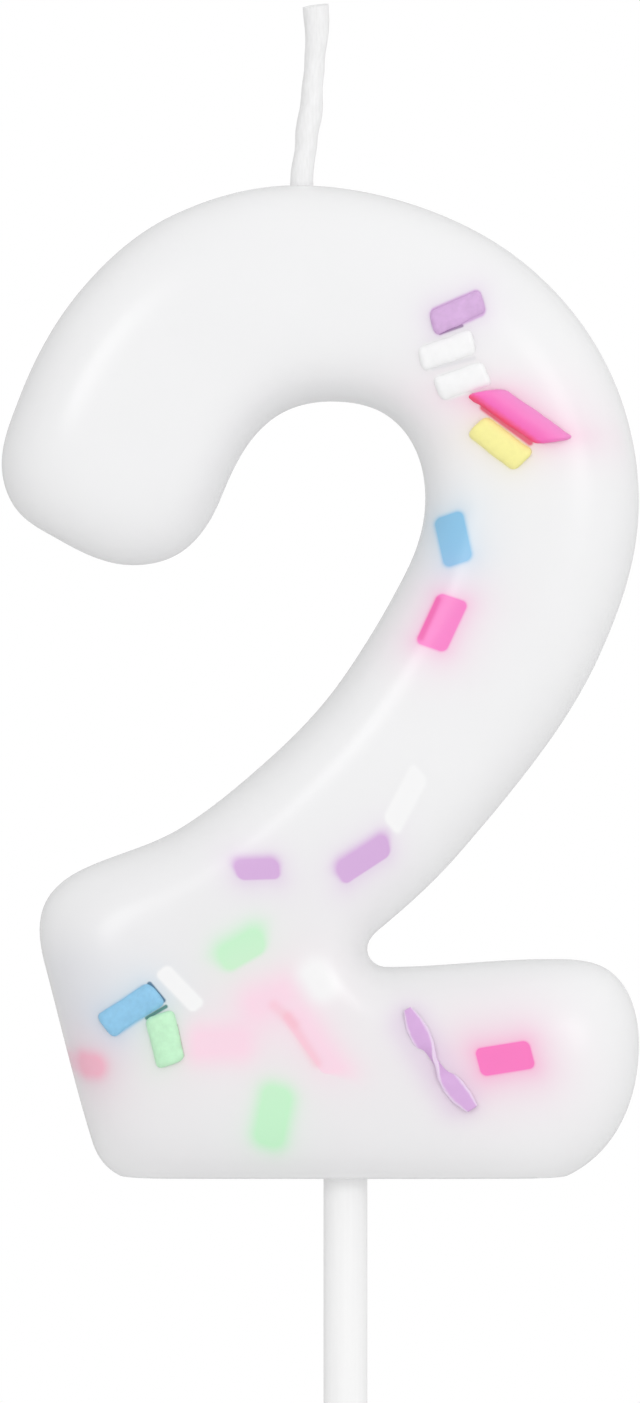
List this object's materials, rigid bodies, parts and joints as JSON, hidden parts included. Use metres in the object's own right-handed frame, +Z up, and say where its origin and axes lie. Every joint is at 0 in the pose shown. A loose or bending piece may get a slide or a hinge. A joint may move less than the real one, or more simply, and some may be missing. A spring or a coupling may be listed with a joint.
{
  "type": "number birthday candle",
  "caption": "Puffed wax numeral two with candy-coloured sprinkles cast into it, a short waxed cotton wick on top and a white plastic stick below to push into a cake.",
  "frame": {"origin": "on the stick's axis, where the stick leaves the flat underside of the wax, which rests on the cake", "axes": "+Z up along the stick and the numeral's height, +X to the right as the numeral is read, -Y out of the front face"},
  "size_m": [0.045, 0.0132, 0.1329],
  "materials": {
    "wax": "translucent white paraffin wax with a soft satin sheen",
    "wick": "braided cotton cord soaked in wax",
    "stick": "smooth white moulded plastic",
    "lilac": "dyed wax",
    "white": "dense white wax",
    "hot_pink": "dyed wax",
    "pink": "dyed wax",
    "pale_pink": "dyed wax",
    "coral": "dyed wax",
    "yellow": "dyed wax",
    "blue": "dyed wax",
    "green": "dyed wax"
  },
  "bodies": {
    "root": {"wax_number_two": "wax", "wick": "wick", "cake_stick": "stick", "twist_lilac_foot": "lilac", "sprinkle_lilac_crown": "lilac", "sprinkle_lilac_neck_right": "lilac", "sprinkle_lilac_neck_left": "lilac", "sprinkle_white_crown_upper": "white", "sprinkle_white_crown_lower": "white", "sprinkle_white_neck": "white", "sprinkle_white_foot": "white", "sprinkle_white_foot_deep": "white", "sliver_hot_pink_shoulder": "hot_pink", "sprinkle_hot_pink_foot_right": "hot_pink", "sprinkle_pink_bowl": "pink", "sprinkle_yellow_shoulder": "yellow", "sprinkle_blue_bowl": "blue", "sprinkle_blue_foot": "blue", "sprinkle_green_foot_upper": "green", "sprinkle_green_foot_left": "green", "sprinkle_green_foot_lower": "green", "sprinkle_pale_pink_foot_left": "pale_pink", "sprinkle_pale_pink_foot_deep": "pale_pink", "sliver_pale_pink_foot": "pale_pink", "sprinkle_coral_foot_edge": "coral", "back_sprinkle_yellow_hook": "yellow", "back_sprinkle_blue_crown": "blue", "back_sprinkle_pink_crown": "pink", "back_sprinkle_green_shoulder": "green", "back_sprinkle_lilac_bowl": "lilac", "back_sprinkle_white_bowl": "white", "back_sprinkle_coral_neck": "coral", "back_sprinkle_blue_neck": "blue", "back_sprinkle_yellow_foot": "yellow", "back_sprinkle_lilac_foot": "lilac", "back_sprinkle_pink_foot": "pink", "back_sprinkle_green_foot": "green"}
  },
  "joints": []
}
